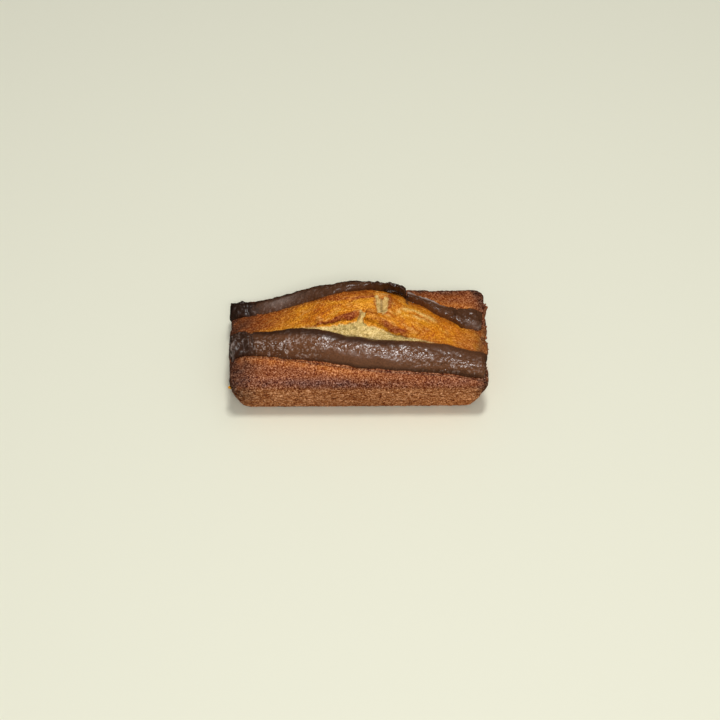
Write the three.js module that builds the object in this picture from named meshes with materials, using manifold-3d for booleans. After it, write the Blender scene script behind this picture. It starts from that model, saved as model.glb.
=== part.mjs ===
// A bar cake baked in a shallow flared mould. It has risen into a dome over the rim, and the dome has split
// open along one of two chocolate lines piped on it lengthwise and askew. The other line has snapped in two.
// Millimetres, +Z up, length along X, base on Z = 0.
import * as THREE from 'three';
import { mergeVertices } from 'three/addons/utils/BufferGeometryUtils.js';
import Module from 'manifold-3d';

const wasm = await Module();
wasm.setup();

// The part baked inside the mould
const LENGTH = 86.2; // at the rim
const WIDTH = 43.6; // at the rim
const RIM_HEIGHT = 15;
const RIM_SAG = 6.4; // how much lower the rim is at the back left corner
const FLARE = 4.7; // how far the rim stands out over the base, each side
const CORNER_RADIUS = 3.2; // seen from above
const BASE_ROUND = 1.2; // where the wall meets the base
const WALL_SWELL = 0.7; // outward bow of the wall at half height
const FRINGE_LEFT = 0.5; // lumps of batter that ran over the rim at the two ends
const FRINGE_RIGHT = 1.2;
const FRINGE_PITCH = 8.4; // from lump to lump
const FRINGE_Y = -4.5; // place of one of them
const FRINGE_FRONT = [-12, -8]; // Y where they begin, and where they are full
const FRINGE_BACK = [21.8, 15.8];

// The dome above the rim
const SHOULDER_RUN = 3.6; // width of the rounded shoulder inside the rim
const SHOULDER_RISE = 2.4;
const DOME_RISE = 13.6;
const DOME_X = 4; // the highest place along the length
const DOME_REACH_LEFT = 48; // from there to the foot of the dome
const DOME_REACH_RIGHT = 42;
const RIDGE_PLACE = 0.68; // across, 0 at the front line and 1 at the back line
const FRONT_FALL = 1.05; // from the ridge to the foot of the dome, same measure
const BACK_FALL = 0.86;
const LUMP_SIZE = 0.2;

// The two piped lines
const LINE_SLOPE = -0.135; // how they run askew, Y for each X
const LINE_LEFT_X = -43.8;
const FRONT_LINE_RIGHT_X = 42.9;
const BACK_LINE_RIGHT_X = 42.4;
const FRONT_LINE_Y = -9.2;
const FRONT_LINE_BOW = 3; // pushed outward by the dome
const FRONT_LINE_HALF_WIDTH = 5.1;
const FRONT_LINE_THICKNESS = 3.2;
const BACK_LINE_Y = 11.2;
const BACK_LINE_HALF_WIDTH = 4;
const BACK_LINE_THICKNESS = 2.2;
const BACK_LINE_PINCH = 2.4; // how much narrower it is over the dome, at its front edge
const PINCH_LEFT = [-14, 9]; // X where it begins to narrow, and where it is narrowest
const PINCH_RIGHT = [16, 34]; // X where it begins to widen again, and where it is full
const LINE_SINK = 0.6; // how deep a line lies in the crust
const LINE_GAP = 0.4; // clear space under and beside a line
const LINE_EDGE = 0.35; // upright edge of a line
const LINE_END_ROUND = 1.2;
const LINE_SPREAD_LENGTH = 7; // at the left end, where the piping of each line began
const FRONT_LINE_SPREAD = 3.4; // how much wider it is there, towards the front
const BACK_LINE_SPREAD = 1.4;
const SNAP_X = 16.8; // where the back line has snapped
const SNAP_GAP = 0.6;
const SNAP_LIFT = 1.4; // how far the left piece curls up at the snap
const SNAP_CURL = 16; // length that curls up
const FAULT_DROP = 1.4; // how far the crust drops beyond the snap
const SNAP_SLIDE = 1.6; // how far the right piece has slid forward
const SLIDE_LEFT = [17, 29]; // X where it begins to slide, and where it is farthest forward
const SLIDE_RIGHT = [33, 44]; // X where it begins to lie back, and where it is in line again

// The split behind the front line
const SPLIT_X = 1.5; // where it is widest
const SPLIT_REACH_LEFT = 23;
const SPLIT_REACH_RIGHT = 28;
const SPLIT_WIDTH = 5;
const SPLIT_DROP = 3.6; // how far the front line has sunk at the split
const SUNK_LEFT = [-19.5, -0.5]; // X where it begins to sink, and where it is down
const SUNK_RIGHT = [10, 34]; // X where it begins to rise again, and where it is up
const SUNK_SLOPE = 3.5; // least width of the slope down to it
const LIP_RISE = 0.5;

// Bare places torn in the crust of the dome: place, size along X and Y, turn in degrees, depth
const TORN_PLACES = [
  { x: 1.7, y: -2.3, long: 2, wide: 5.2, turn: -24, depth: 1.5 },
  { x: 8.1, y: 2.4, long: 3.8, wide: 8, turn: 0, depth: 0.9 },
];
const TORN_POINTS = 14;

// How finely the forms are cut
const CAKE_COLUMNS = 68;
const COLUMN_CROWDING = 0.25; // columns stand closer towards the ends
const WALL_LAYERS = 5;
const BAND_ROWS = [6, 6, 6, 12, 5, 7]; // of the top, from the front rim to the back rim
const TOP_ROWS = BAND_ROWS.reduce((sum, rows) => sum + rows, 0);
const LINE_CELL = 1.75; // length of one cell of a line
const LINE_ROWS = 8;

const crust = { color: 0xb5702f, roughness: 0.85, metalness: 0 };
const chocolate = { color: 0x5a3a26, roughness: 0.45, metalness: 0 };

const clamp = (value, low, high) => Math.min(Math.max(value, low), high);
const lerp = (a, b, share) => a + (b - a) * share;

// Goes smoothly from 0 to 1 while a value goes from one limit to another.
function ease(from, to, value) {
  const share = clamp((value - from) / (to - from), 0, 1);
  return share * share * (3 - 2 * share);
}

// Share of the dome's height at one place along the length: a bell, 1 at the top and 0 at its feet.
function bell(x) {
  const reach = x < DOME_X ? DOME_REACH_LEFT : DOME_REACH_RIGHT;
  const along = clamp((x - DOME_X) / reach, -1, 1);
  return Math.cos((along * Math.PI) / 2) ** 2;
}

// Centre of each piped line, and how far the back one has slid.
const frontLine = (x) => FRONT_LINE_Y + LINE_SLOPE * x - FRONT_LINE_BOW * bell(x) ** 2;
const slide = (x) => SNAP_SLIDE * ease(...SLIDE_LEFT, x) * (1 - ease(...SLIDE_RIGHT, x));
const backLine = (x) => BACK_LINE_Y + LINE_SLOPE * x - slide(x);

// How much the front edge of the back line is drawn in.
const pinch = (x) => BACK_LINE_PINCH * ease(...PINCH_LEFT, x) * (1 - ease(...PINCH_RIGHT, x));

// How far open the split is, 0 to 1.
function opening(x) {
  const left = Math.max(0, 1 - (SPLIT_X - x) / SPLIT_REACH_LEFT) ** 1.2;
  const right = Math.max(0, 1 - (x - SPLIT_X) / SPLIT_REACH_RIGHT) ** 3;
  return x < SPLIT_X ? left : right;
}

// The two sides of the split: the front line, and the edge of the dome's crust.
const splitNear = (x) => frontLine(x) + FRONT_LINE_HALF_WIDTH + 0.2;
const splitFar = (x) => splitNear(x) + 0.1 + SPLIT_WIDTH * opening(x);

// Distance from the rim of a place inside it.
function fromRim(x, y) {
  const acrossX = Math.abs(x) - LENGTH / 2 + CORNER_RADIUS;
  const acrossY = Math.abs(y) - WIDTH / 2 + CORNER_RADIUS;
  const outside = Math.hypot(Math.max(acrossX, 0), Math.max(acrossY, 0));
  return CORNER_RADIUS - outside - Math.min(Math.max(acrossX, acrossY), 0);
}

// Height of the rim: the mould was not quite filled at its back left corner.
function rimHeight(x, y) {
  return RIM_HEIGHT - RIM_SAG * ease(0, LENGTH / 2, -x) * ease(-6, WIDTH / 2, y);
}

// Rise of the dome at a place: highest along a ridge between the two lines.
function domeRise(x, y) {
  const place = (y - frontLine(x)) / (backLine(x) - frontLine(x));
  const fall = place < RIDGE_PLACE ? FRONT_FALL : BACK_FALL;
  const across = clamp((place - RIDGE_PLACE) / fall, -1, 1);
  return DOME_RISE * bell(x) * Math.cos((across * Math.PI) / 2);
}

// What the split takes away: the front line has sunk, the bare crumb slopes up, the crust ends in a lip.
function splitDepth(x, y) {
  const near = splitNear(x);
  const far = splitFar(x);
  const open = opening(x);
  const sunk = ease(...SUNK_LEFT, x) * (1 - ease(...SUNK_RIGHT, x));
  const below = 1 - clamp((y - near) / Math.max(far - near, SUNK_SLOPE), 0, 1);
  const drop = SPLIT_DROP * sunk * below * ease(frontLine(x) - 7, near, y);
  const lip = LIP_RISE * open * ease(far, far + 0.6, y) * (1 - ease(far + 0.6, far + 4, y));
  return drop - lip;
}

// The crust drops a little beyond the place where the back line has snapped.
function faultDepth(x, y) {
  const along = ease(SNAP_X - 1, SNAP_X + 0.5, x) * (1 - ease(SNAP_X + 1, SNAP_X + 9, x));
  const across = ease(2, 6, y) * (1 - ease(16, 20, y));
  return FAULT_DROP * along * across;
}

// Depth of the beds that the piped lines lie in.
function bedDepth(x, y) {
  const offFront = Math.abs(y - frontLine(x)) / FRONT_LINE_HALF_WIDTH;
  const offBack = Math.max(
    (y - backLine(x)) / BACK_LINE_HALF_WIDTH,
    (backLine(x) - y) / (BACK_LINE_HALF_WIDTH - pinch(x)),
  );
  return LINE_SINK * (1 - ease(0.88, 1.1, Math.min(offFront, offBack)));
}

// Soft unevenness of the crust.
function lumps(x, y) {
  const long = Math.sin(0.41 * x + 1.3) * Math.sin(0.55 * y + 0.4);
  const short = Math.sin(0.93 * x - 0.6 * y + 2.1) * Math.sin(0.71 * y + 0.37 * x);
  return LUMP_SIZE * (long + 0.7 * short);
}

// Height of the cake's top at a place in plan.
function topHeight(x, y) {
  const inward = clamp(fromRim(x, y) / SHOULDER_RUN, 0, 1);
  const shoulder = SHOULDER_RISE * Math.sqrt(1 - (1 - inward) ** 2);
  const risen = domeRise(x, y) * ease(0, 0.4, inward);
  const taken = splitDepth(x, y) + faultDepth(x, y);
  const uneven = (lumps(x, y) - bedDepth(x, y)) * inward;
  return rimHeight(x, y) + shoulder + risen - taken + uneven;
}

// Rounds the corners of the rim in plan: each square corner becomes a quarter disc.
function roundCorner(x, y) {
  const beyondX = Math.max(Math.abs(x) - LENGTH / 2 + CORNER_RADIUS, 0);
  const beyondY = Math.max(Math.abs(y) - WIDTH / 2 + CORNER_RADIUS, 0);
  const span = Math.hypot(beyondX, beyondY);
  const pull = span > 0 ? 1 - Math.max(beyondX, beyondY) / span : 0;
  return [x - Math.sign(x) * beyondX * pull, y - Math.sign(y) * beyondY * pull];
}

// Rows of the top follow the piped lines and the split, so that their edges are clean.
function rowPlace(v, x) {
  const bands = [
    -WIDTH / 2,
    frontLine(x) - FRONT_LINE_HALF_WIDTH,
    splitNear(x),
    splitFar(x) + 0.6,
    backLine(x) - BACK_LINE_HALF_WIDTH + pinch(x),
    backLine(x) + BACK_LINE_HALF_WIDTH,
    WIDTH / 2,
  ];
  let row = ((v + 1) / 2) * TOP_ROWS;
  let band = 0;
  while (band < BAND_ROWS.length - 1 && row > BAND_ROWS[band]) {
    row -= BAND_ROWS[band];
    band += 1;
  }
  return lerp(bands[band], bands[band + 1], row / BAND_ROWS[band]);
}

// Batter that ran over the rim at the two ends and baked there.
function fringeOut(y, up) {
  const lump = 0.5 + 0.5 * Math.cos((2 * Math.PI * (y - FRINGE_Y)) / FRINGE_PITCH);
  return lump * ease(0.5, 0.9, up) * ease(...FRINGE_FRONT, y) * ease(...FRINGE_BACK, y);
}

// A point of the cake: u runs end to end, v front to back, w from under the base to the top.
function cakePoint(u, v, w) {
  const x = (LENGTH / 2) * (u + (COLUMN_CROWDING * Math.sin(Math.PI * u)) / Math.PI);
  const [topX, topY] = roundCorner(x, rowPlace(v, x));
  const up = w ** 1.3;
  const swell = 4 * WALL_SWELL * up * (1 - up);
  const inset = FLARE * (1 - up) - swell + BASE_ROUND * (1 - ease(0, 0.12, up));
  const fringe = u > 0 ? FRINGE_RIGHT : -FRINGE_LEFT;
  const out = Math.abs(u) === 1 ? fringe * fringeOut(topY, up) : 0;
  const wallZ = lerp(-1, rimHeight(topX, topY), up);
  return [
    topX * (1 - (2 * inset) / LENGTH) + out,
    topY * (1 - (2 * inset) / WIDTH),
    w === 1 ? topHeight(topX, topY) : wallZ,
  ];
}

// A geometry with nothing but its points, each kept once.
function bare(geometry) {
  geometry.deleteAttribute('normal');
  geometry.deleteAttribute('uv');
  return mergeVertices(geometry, 1e-4);
}

// A box of many small cells with each point moved by place(u, v, w): u and v run -1 to 1, w runs 0 to 1.
function mouldedBox(columns, rows, layers, place) {
  const geometry = new THREE.BoxGeometry(2, 2, 1, columns, rows, layers);
  const points = geometry.getAttribute('position');
  for (let i = 0; i < points.count; i++) {
    const moved = place(points.getX(i), points.getY(i), points.getZ(i) + 0.5);
    points.setXYZ(i, ...moved);
  }
  return bare(geometry);
}

function solidFrom(geometry) {
  const vertProperties = new Float32Array(geometry.getAttribute('position').array);
  const triVerts = new Uint32Array(geometry.index.array);
  return new wasm.Manifold(new wasm.Mesh({ numProp: 3, vertProperties, triVerts }));
}

function geometryFrom(solid) {
  const mesh = solid.getMesh();
  const geometry = new THREE.BufferGeometry();
  geometry.setAttribute('position', new THREE.BufferAttribute(new Float32Array(mesh.vertProperties), 3));
  geometry.setIndex(new THREE.BufferAttribute(new Uint32Array(mesh.triVerts), 1));
  geometry.computeVertexNormals();
  return geometry;
}

// What is torn out at one place: a ragged plug that stands square to the crust there.
function tornPlug({ x, y, long, wide, turn, depth }) {
  const outline = [];
  for (let i = 0; i < TORN_POINTS; i++) {
    const angle = (i / TORN_POINTS) * 2 * Math.PI;
    const ragged = 1 + 0.16 * Math.sin(3 * angle + x) + 0.1 * Math.sin(5 * angle);
    const across = (long / 2) * ragged * Math.cos(angle);
    const along = (wide / 2) * ragged * Math.sin(angle);
    outline.push(new THREE.Vector2(across, along));
  }
  const slopeX = (topHeight(x + 1, y) - topHeight(x - 1, y)) / 2;
  const slopeY = (topHeight(x, y + 1) - topHeight(x, y - 1)) / 2;
  const up = new THREE.Vector3(-slopeX, -slopeY, 1).normalize();
  const tilt = new THREE.Quaternion().setFromUnitVectors(new THREE.Vector3(0, 0, 1), up);
  const plug = new THREE.ExtrudeGeometry(new THREE.Shape(outline), { depth: 8, bevelEnabled: false });
  plug.rotateZ(THREE.MathUtils.degToRad(turn));
  plug.applyQuaternion(tilt);
  plug.translate(x - up.x * depth, y - up.y * depth, topHeight(x, y) - up.z * depth);
  return solidFrom(bare(plug));
}

// The whole cake without its lines: risen, cut flat at the base, torn in two places.
function makeCake() {
  const room = new THREE.BoxGeometry(2 * LENGTH, 2 * WIDTH, 100);
  room.translate(0, 0, 50);
  const risen = solidFrom(mouldedBox(CAKE_COLUMNS, TOP_ROWS, WALL_LAYERS, cakePoint));
  let cake = risen.intersect(solidFrom(bare(room)));
  for (const place of TORN_PLACES) {
    cake = cake.subtract(tornPlug(place));
  }
  return geometryFrom(cake);
}

// A piped line from one X to another: a rounded bar that follows the crust, blunt at the ends of the cake.
function makeLine({ centre, halfWidth, thickness, spread, drawnIn, rightX }, fromX, toX, lift) {
  const place = (u, v, w) => {
    const x = lerp(fromX, toX, (u + 1) / 2);
    const toEnd = Math.min(x - LINE_LEFT_X, rightX - x);
    const blunt = Math.sqrt(1 - (1 - clamp(toEnd / LINE_END_ROUND, 0, 1)) ** 2);
    const wide = (halfWidth - LINE_GAP) * lerp(0.86, 1, blunt);
    const wider = ((spread * ease(LINE_SPREAD_LENGTH, 0, x - LINE_LEFT_X) - drawnIn(x)) * (1 - v)) / 2;
    const [lineX, lineY] = roundCorner(x, centre(x) + wide * v - wider);
    const under = topHeight(lineX, lineY) + LINE_GAP + lift(x);
    const crown = thickness * lerp(0.6, 1, blunt) * Math.sqrt(1 - Math.abs(v) ** 2.4);
    return [lineX, lineY, under + w * (LINE_EDGE + crown)];
  };
  return mouldedBox(Math.round((toX - fromX) / LINE_CELL), LINE_ROWS, 1, place);
}

function makeFrontLine() {
  const line = {
    centre: frontLine,
    halfWidth: FRONT_LINE_HALF_WIDTH,
    thickness: FRONT_LINE_THICKNESS,
    spread: FRONT_LINE_SPREAD,
    drawnIn: () => 0,
    rightX: FRONT_LINE_RIGHT_X,
  };
  return makeLine(line, LINE_LEFT_X, FRONT_LINE_RIGHT_X, () => 0);
}

function makeBackLine(fromX, toX) {
  const line = {
    centre: backLine,
    halfWidth: BACK_LINE_HALF_WIDTH,
    thickness: BACK_LINE_THICKNESS,
    spread: BACK_LINE_SPREAD,
    drawnIn: pinch,
    rightX: BACK_LINE_RIGHT_X,
  };
  const curl = (x) => (x < SNAP_X ? SNAP_LIFT * ease(SNAP_X - SNAP_CURL, SNAP_X, x) : 0);
  return makeLine(line, fromX, toX, curl);
}

const financier = new THREE.Group();
financier.name = 'financier_cake';

function addPiece(name, geometry, look) {
  const piece = new THREE.Mesh(geometry, new THREE.MeshStandardMaterial(look));
  piece.name = name;
  financier.add(piece);
}

addPiece('cake_body', makeCake(), crust);
addPiece('front_line', makeFrontLine(), chocolate);
addPiece('back_line_left', makeBackLine(LINE_LEFT_X, SNAP_X - SNAP_GAP / 2), chocolate);
addPiece('back_line_right', makeBackLine(SNAP_X + SNAP_GAP / 2, BACK_LINE_RIGHT_X), chocolate);

export default financier;
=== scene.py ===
"""Dresses the solids of a financier cake: browned crust, torn crumb, piped chocolate and loose crumbs."""

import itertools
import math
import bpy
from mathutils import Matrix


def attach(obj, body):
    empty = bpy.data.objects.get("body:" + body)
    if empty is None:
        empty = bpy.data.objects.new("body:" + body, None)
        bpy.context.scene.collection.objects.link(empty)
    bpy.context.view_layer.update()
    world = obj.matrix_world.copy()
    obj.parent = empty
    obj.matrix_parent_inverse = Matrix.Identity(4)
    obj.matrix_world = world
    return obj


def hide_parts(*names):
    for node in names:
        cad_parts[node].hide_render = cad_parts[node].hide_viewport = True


bl_info = {
    "name": "Financier cake",
    "version": (1, 0, 0),
    "blender": (4, 5, 0),
    "location": "3D View > Sidebar > Financier",
    "description": "Dresses the solids of a financier cake with crust, crumb and chocolate",
    "category": "Add Mesh",
}

import bpy
import numpy as np
from mathutils import Euler, Matrix, Vector
from mathutils.bvhtree import BVHTree

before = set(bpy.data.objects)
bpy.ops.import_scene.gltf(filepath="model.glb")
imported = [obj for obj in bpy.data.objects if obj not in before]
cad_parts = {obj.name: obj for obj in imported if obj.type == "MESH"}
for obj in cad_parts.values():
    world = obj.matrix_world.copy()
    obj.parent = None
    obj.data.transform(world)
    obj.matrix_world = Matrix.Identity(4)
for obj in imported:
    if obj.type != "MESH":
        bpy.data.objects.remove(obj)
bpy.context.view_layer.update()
MM = 0.001
EYE_GAMMA = 2.2  # how the eye sees an amount of light
WEIGHT_STEPS = 40  # vertices of like weight are weighted together
MERGE_GAP = 2e-6  # in metres: corners of the loose triangles that are nearer are one

# Driving sizes in millimetres, the same as those of the solids
HALF_LENGTH = 43.1  # at the rim
HALF_WIDTH = 21.8
RIM_HEIGHT = 15
RIM_SAG = 6.4  # how much lower the rim is at the back left corner
CORNER_RADIUS = 3.2
DOME_X = 4  # the highest place along the length
DOME_REACH_LEFT = 48
DOME_REACH_RIGHT = 42
LINE_SLOPE = -0.135  # how the lines run askew, Y for each X
LINE_LEFT_X = -43.8
LINE_RIGHT_X = 42.9
FRONT_LINE_Y = -9.2
FRONT_LINE_BOW = 3  # pushed outward by the dome
FRONT_LINE_HALF_WIDTH = 5.1
BACK_LINE_Y = 11.2
BACK_LINE_HALF_WIDTH = 4
BACK_LINE_PINCH = 2.4  # how much narrower it is over the dome
PINCH_LEFT = (-14, 9)
PINCH_RIGHT = (16, 34)
SNAP_X = 16.8  # where the back line has snapped
SNAP_SLIDE = 1.6  # how far its right piece has slid forward
SLIDE_LEFT = (17, 29)
SLIDE_RIGHT = (33, 44)
SPLIT_X = 1.5  # where the split is widest
SPLIT_REACH_LEFT = 23
SPLIT_REACH_RIGHT = 28
SPLIT_WIDTH = 5
SPLIT_GAP = 0.2  # between the front line and the split

# Finer forms that the solids leave out
BACK_LINE_DRAW = 2.0  # how far the front edge of the back line has drawn back as it set
CHANNEL_X = 2.4  # where the channel parts the torn edge in two
NOTCH_X = 32.9  # dent across the right piece of the back line
END_BLOCK = (-33, -37.5)  # where the flat left ends of the lines begin
BASE_SNAP = 0.35  # what is lower than this is laid flat on the floor
FLAT_GAP = 1e-4  # what is nearer than this to the floor lies on it

# Bare places and flaps in the crust of the dome: X, Y, size along each, turn in degrees
STEM = (0.9, -3.4, 1.8, 3.8, -16)
KNOB = (1.8, -1.6, 2.1, 2.0, -20)
CHIMNEY = (8.2, 2.2, 3.9, 7.2, 0)
CHIMNEY_RIM = (8.2, 2.2, 4.9, 8.4, 0)
CAP = (8.9, 6.9, 5.0, 1.5, 0)
FLAP = (10.9, 3.6, 1.2, 6.6, 2)

# Soft spots on the dome and in the bare crumb: X, Y, reach along each, strength
FLAKE_SPOT = (24.6, 0.9, 1.7, 0.9, 0.8)
YELLOW_SPOTS = (
    (15.5, -0.6, 3.0, 1.5, 0.9),
    (22, -1.8, 3.4, 1.3, 0.8),
    (-18.5, 6.2, 4.0, 1.6, 0.5),
    (-22.5, 2.2, 5.0, 1.7, 0.5),
    (2.6, 2.2, 3.4, 1.9, 0.7),
)
AMBER_SPOTS = ((4.8, -1.6, 2.2, 1.1, 0.7), (-13.2, -1.0, 2.4, 0.8, 0.6))
MOTTLED_AMBER_SPOT = (12.4, 4.8, 1.7, 2.6, 0.7)
HOLLOW_SPOTS = ((12.5, -7.4, 3.0, 0.9, 0.6), (-4.5, -4.2, 2.4, 0.8, 0.5))
PALE_SPOT = (3.0, -6.6, 4.0, 0.9, 0.14)

# Loose crumbs
CORNER_CRUMB = (-1, -18.6, 12.4, 1.5)  # end of the cake, Y, Z, and size against a common crumb
CRUMB_SHAPE_SEED = 5
CRUMB_PLACE_SEED = 7
FULL_TURN = 6.28  # in radians
OUTSIDE_X = 60  # well beyond the ends of the cake


def tone(red, green, blue):
    """A colour given as 0 to 255 on a screen, as the amount of light that it gives back."""
    shares = [value / 255 for value in (red, green, blue)]
    return tuple(share / 12.92 if share <= 0.04045 else ((share + 0.055) / 1.055) ** 2.4 for share in shares)


def size_property(name, description, default):
    return bpy.props.FloatProperty(
        name=name, description=description, default=default, min=0, unit="LENGTH", precision=5
    )


def colour_property(name, description, default):
    return bpy.props.FloatVectorProperty(
        name=name, description=description, default=default, size=3, min=0, max=1, subtype="COLOR"
    )


def power_property(name, description, default):
    return bpy.props.FloatProperty(name=name, description=description, default=default, min=0, unit="POWER")


def angle_property(name, description, degrees):
    return bpy.props.FloatProperty(
        name=name, description=description, default=math.radians(degrees), subtype="ANGLE"
    )


class FinancierCakeLook(bpy.types.PropertyGroup):
    """Sizes and colours of the baked cake."""

    cell: size_property("Cell", "Size of the cells that the crust is modelled in", 0.345 * MM)
    grain: size_property("Crust grain", "Depth of the fine grain of the crust", 0.14 * MM)
    swell: size_property("Crust swell", "Depth of the soft unevenness of the crust", 0.45 * MM)
    pores: size_property("Crumb pores", "Depth of the pores of the bare crumb", 0.45 * MM)
    lip: size_property("Lip", "How far the torn crust curls up along the split", 0.5 * MM)
    brown: colour_property("Brown", "Crust of the shoulder", tone(143, 78, 39))
    wall: colour_property("Wall", "Crust that lay against the mould", tone(167, 101, 53))
    band: colour_property("Band", "Dark band along the rim", tone(98, 56, 42))
    # Also the colour of the painted shade in the crevice, at the snap and beside the lines.
    end: colour_property("Ends", "Most browned crust, at the ends", tone(72, 40, 24))
    orange: colour_property("Orange", "Crust beside the chocolate", tone(180, 102, 40))
    gold: colour_property("Gold", "Crust of the dome", tone(203, 115, 1))
    amber: colour_property("Amber", "Deeper patches of the dome", tone(150, 72, 3))
    yellow: colour_property("Yellow", "Paler patches of the dome", tone(224, 148, 22))
    flake: colour_property("Flake", "Pale flakes on the dome", tone(234, 188, 100))
    streak: colour_property("Streak", "Browned edge of the torn crust", tone(142, 63, 10))
    crumb: colour_property("Crumb", "Bare inside of the cake", tone(230, 197, 124))
    # Olive grey of the painted shade in the crumb's pores, hollows and sunken bare places.
    hollow_shade: colour_property("Hollow", "Pores of the bare inside", tone(176, 154, 88))


class FinancierChocolateLook(bpy.types.PropertyGroup):
    """Sizes and colours of the piped lines."""

    cell: size_property("Cell", "Size of the cells that the lines are modelled in", 0.22 * MM)
    beads: size_property("Beads", "Height of the fine beads on the crest", 0.21 * MM)
    sag: size_property("Sag", "How far the line has sunk on to the crust", 0.3 * MM)
    body: colour_property("Chocolate", "Piped chocolate", tone(109, 69, 43))
    # Also the colour of the painted shade on the far side and near edge of the lines, and in their folds and
    # notch.
    deep_and_shade: colour_property("Deep chocolate", "Chocolate that has baked darker", tone(40, 22, 12))
    # Pale colour of the painted glints, highlights and sheens on the chocolate.
    painted_highlight: colour_property("Bloom", "Pale specks on the crest", tone(236, 214, 202))


class FinancierCrumbLook(bpy.types.PropertyGroup):
    """Number and size of the loose crumbs."""

    count: bpy.props.IntProperty(
        name="Count", description="Crumbs along the rim", default=16, min=0, max=400
    )
    size: size_property("Size", "Length of a common crumb", 1.3 * MM)


class FinancierStageLook(bpy.types.PropertyGroup):
    """Floor, light and camera."""

    floor: colour_property("Floor", "Pale floor", tone(236, 235, 214))
    sky: bpy.props.FloatProperty(
        name="Sky", description="Strength of the light from all round", default=0.24, min=0
    )
    lamp: power_property("Lamp", "Power of the long lamp overhead", 0.8)
    fill: power_property("Fill", "Power of each lamp at the front corners", 1.2)
    glint: power_property("Glint", "Power of the small lamp that the gloss mirrors", 3.5)
    lens: bpy.props.FloatProperty(
        name="Lens", description="Focal length in millimetres", default=90, min=1
    )
    tilt: angle_property("Tilt", "How far the camera looks down", 49.6)
    turn: angle_property("Turn", "How far the camera looks to the right", 0.5)
    eye: bpy.props.FloatVectorProperty(
        name="Eye",
        description="Place of the camera",
        default=(-0.0026, -0.4017, 0.4762),
        size=3,
        subtype="TRANSLATION",
    )


def ease(start, end, value):
    """Goes smoothly from 0 to 1 while a value goes from start to end."""
    share = np.clip((value - start) / (end - start), 0, 1)
    return share * share * (3 - 2 * share)


def within(start, full, fade, end, value):
    """1 from full to fade, going smoothly to 0 at start and at end."""
    return ease(start, full, value) * ease(end, fade, value)


def hump(centre, reach, value):
    """1 at a centre, falling away on both sides."""
    return np.exp(-(((value - centre) / reach) ** 2))


def bell(x):
    """Share of the dome's height along the length."""
    along = np.clip((x - DOME_X) / np.where(x < DOME_X, DOME_REACH_LEFT, DOME_REACH_RIGHT), -1, 1)
    return np.cos(along * math.pi / 2) ** 2


def front_line(x):
    return FRONT_LINE_Y + LINE_SLOPE * x - FRONT_LINE_BOW * bell(x) ** 2


def slide(x):
    """How far the right piece of the back line has slid forward."""
    return SNAP_SLIDE * ease(*SLIDE_LEFT, x) * (1 - ease(*SLIDE_RIGHT, x))


def pinch(x):
    """How much the front edge of the back line is drawn in over the dome."""
    return BACK_LINE_PINCH * ease(*PINCH_LEFT, x) * (1 - ease(*PINCH_RIGHT, x))


def drawn(x):
    """How far the front edge of the back line has been drawn back as it set."""
    over_dome = ease(0, 7, x) * (1 - 0.25 * ease(16, 20, x) - 0.75 * ease(31, 38, x))
    return BACK_LINE_DRAW * over_dome - 0.6 * ease(0, -8, x)


def back_line(x):
    return BACK_LINE_Y + LINE_SLOPE * x - slide(x)


def opening(x):
    """How far open the split is, 0 to 1."""
    left = np.clip(1 - (SPLIT_X - x) / SPLIT_REACH_LEFT, 0, 1) ** 1.2
    right = np.clip(1 - (x - SPLIT_X) / SPLIT_REACH_RIGHT, 0, 1) ** 3
    return np.where(x < SPLIT_X, left, right)


def torn_share(x):
    """1 along the split, fading out at both its ends."""
    return np.minimum(1, 4 * opening(x))


def split_near(x):
    return front_line(x) + (FRONT_LINE_HALF_WIDTH + SPLIT_GAP)


def split_far(x):
    return split_near(x) + 0.1 + SPLIT_WIDTH * opening(x)


def crease(x):
    """Line along the dome where the crust under the back line ends."""
    return back_line(x) - 3.5 - 3.4 * ease(-17, -6, x) + 1.3 * ease(-2, 6, x)


def from_rim(x, y):
    """Distance inwards from the rim, seen from above."""
    across_x = np.abs(x) - HALF_LENGTH + CORNER_RADIUS
    across_y = np.abs(y) - HALF_WIDTH + CORNER_RADIUS
    outside = np.hypot(np.maximum(across_x, 0), np.maximum(across_y, 0))
    return CORNER_RADIUS - outside - np.minimum(np.maximum(across_x, across_y), 0)


def rim_height(x, y):
    return RIM_HEIGHT - RIM_SAG * ease(0, HALF_LENGTH, -x) * ease(-6, HALF_WIDTH, y)


def lumps(points, size, seed):
    """Smooth random values from -1 to 1 with lumps of one size: a number, or one for each axis."""
    place = points / np.asarray(size, float) + 31.7 * seed
    cell = np.floor(place).astype(np.int64)
    part = place - cell
    part = part * part * (3 - 2 * part)
    total = np.zeros(len(points))
    for corner in itertools.product((0, 1), repeat=3):
        # Large primes scatter the cells, so that each corner has a value of its own
        at = cell + corner
        key = (at[:, 0] * 73856093) ^ (at[:, 1] * 19349663) ^ (at[:, 2] * 83492791) ^ (seed * 40503)
        key = ((key ^ (key >> 13)) * 1274126177) & 0x7FFFFFFF
        key = ((key ^ (key >> 15)) * 668265263) & 0x7FFFFFFF
        share = np.prod(np.where(np.array(corner) == 1, part, 1 - part), axis=1)
        total += share * (key / 0x3FFFFFFF - 1)
    return total


def lumps_along(x, size, seed):
    """Smooth random values that change along the length alone."""
    return lumps(np.column_stack([x, np.zeros(len(x)), np.zeros(len(x))]), size, seed)


def activate(piece):
    bpy.ops.object.select_all(action="DESELECT")
    bpy.context.view_layer.objects.active = piece
    piece.select_set(True)


def open_in_edit_mode(piece, kind, action):
    """Opens a piece in edit mode, with all of it or none of it selected."""
    activate(piece)
    bpy.ops.object.mode_set(mode="EDIT")
    bpy.ops.mesh.select_mode(type=kind)
    bpy.ops.mesh.select_all(action=action)


def leave_edit_mode():
    bpy.ops.object.mode_set(mode="OBJECT")


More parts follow.
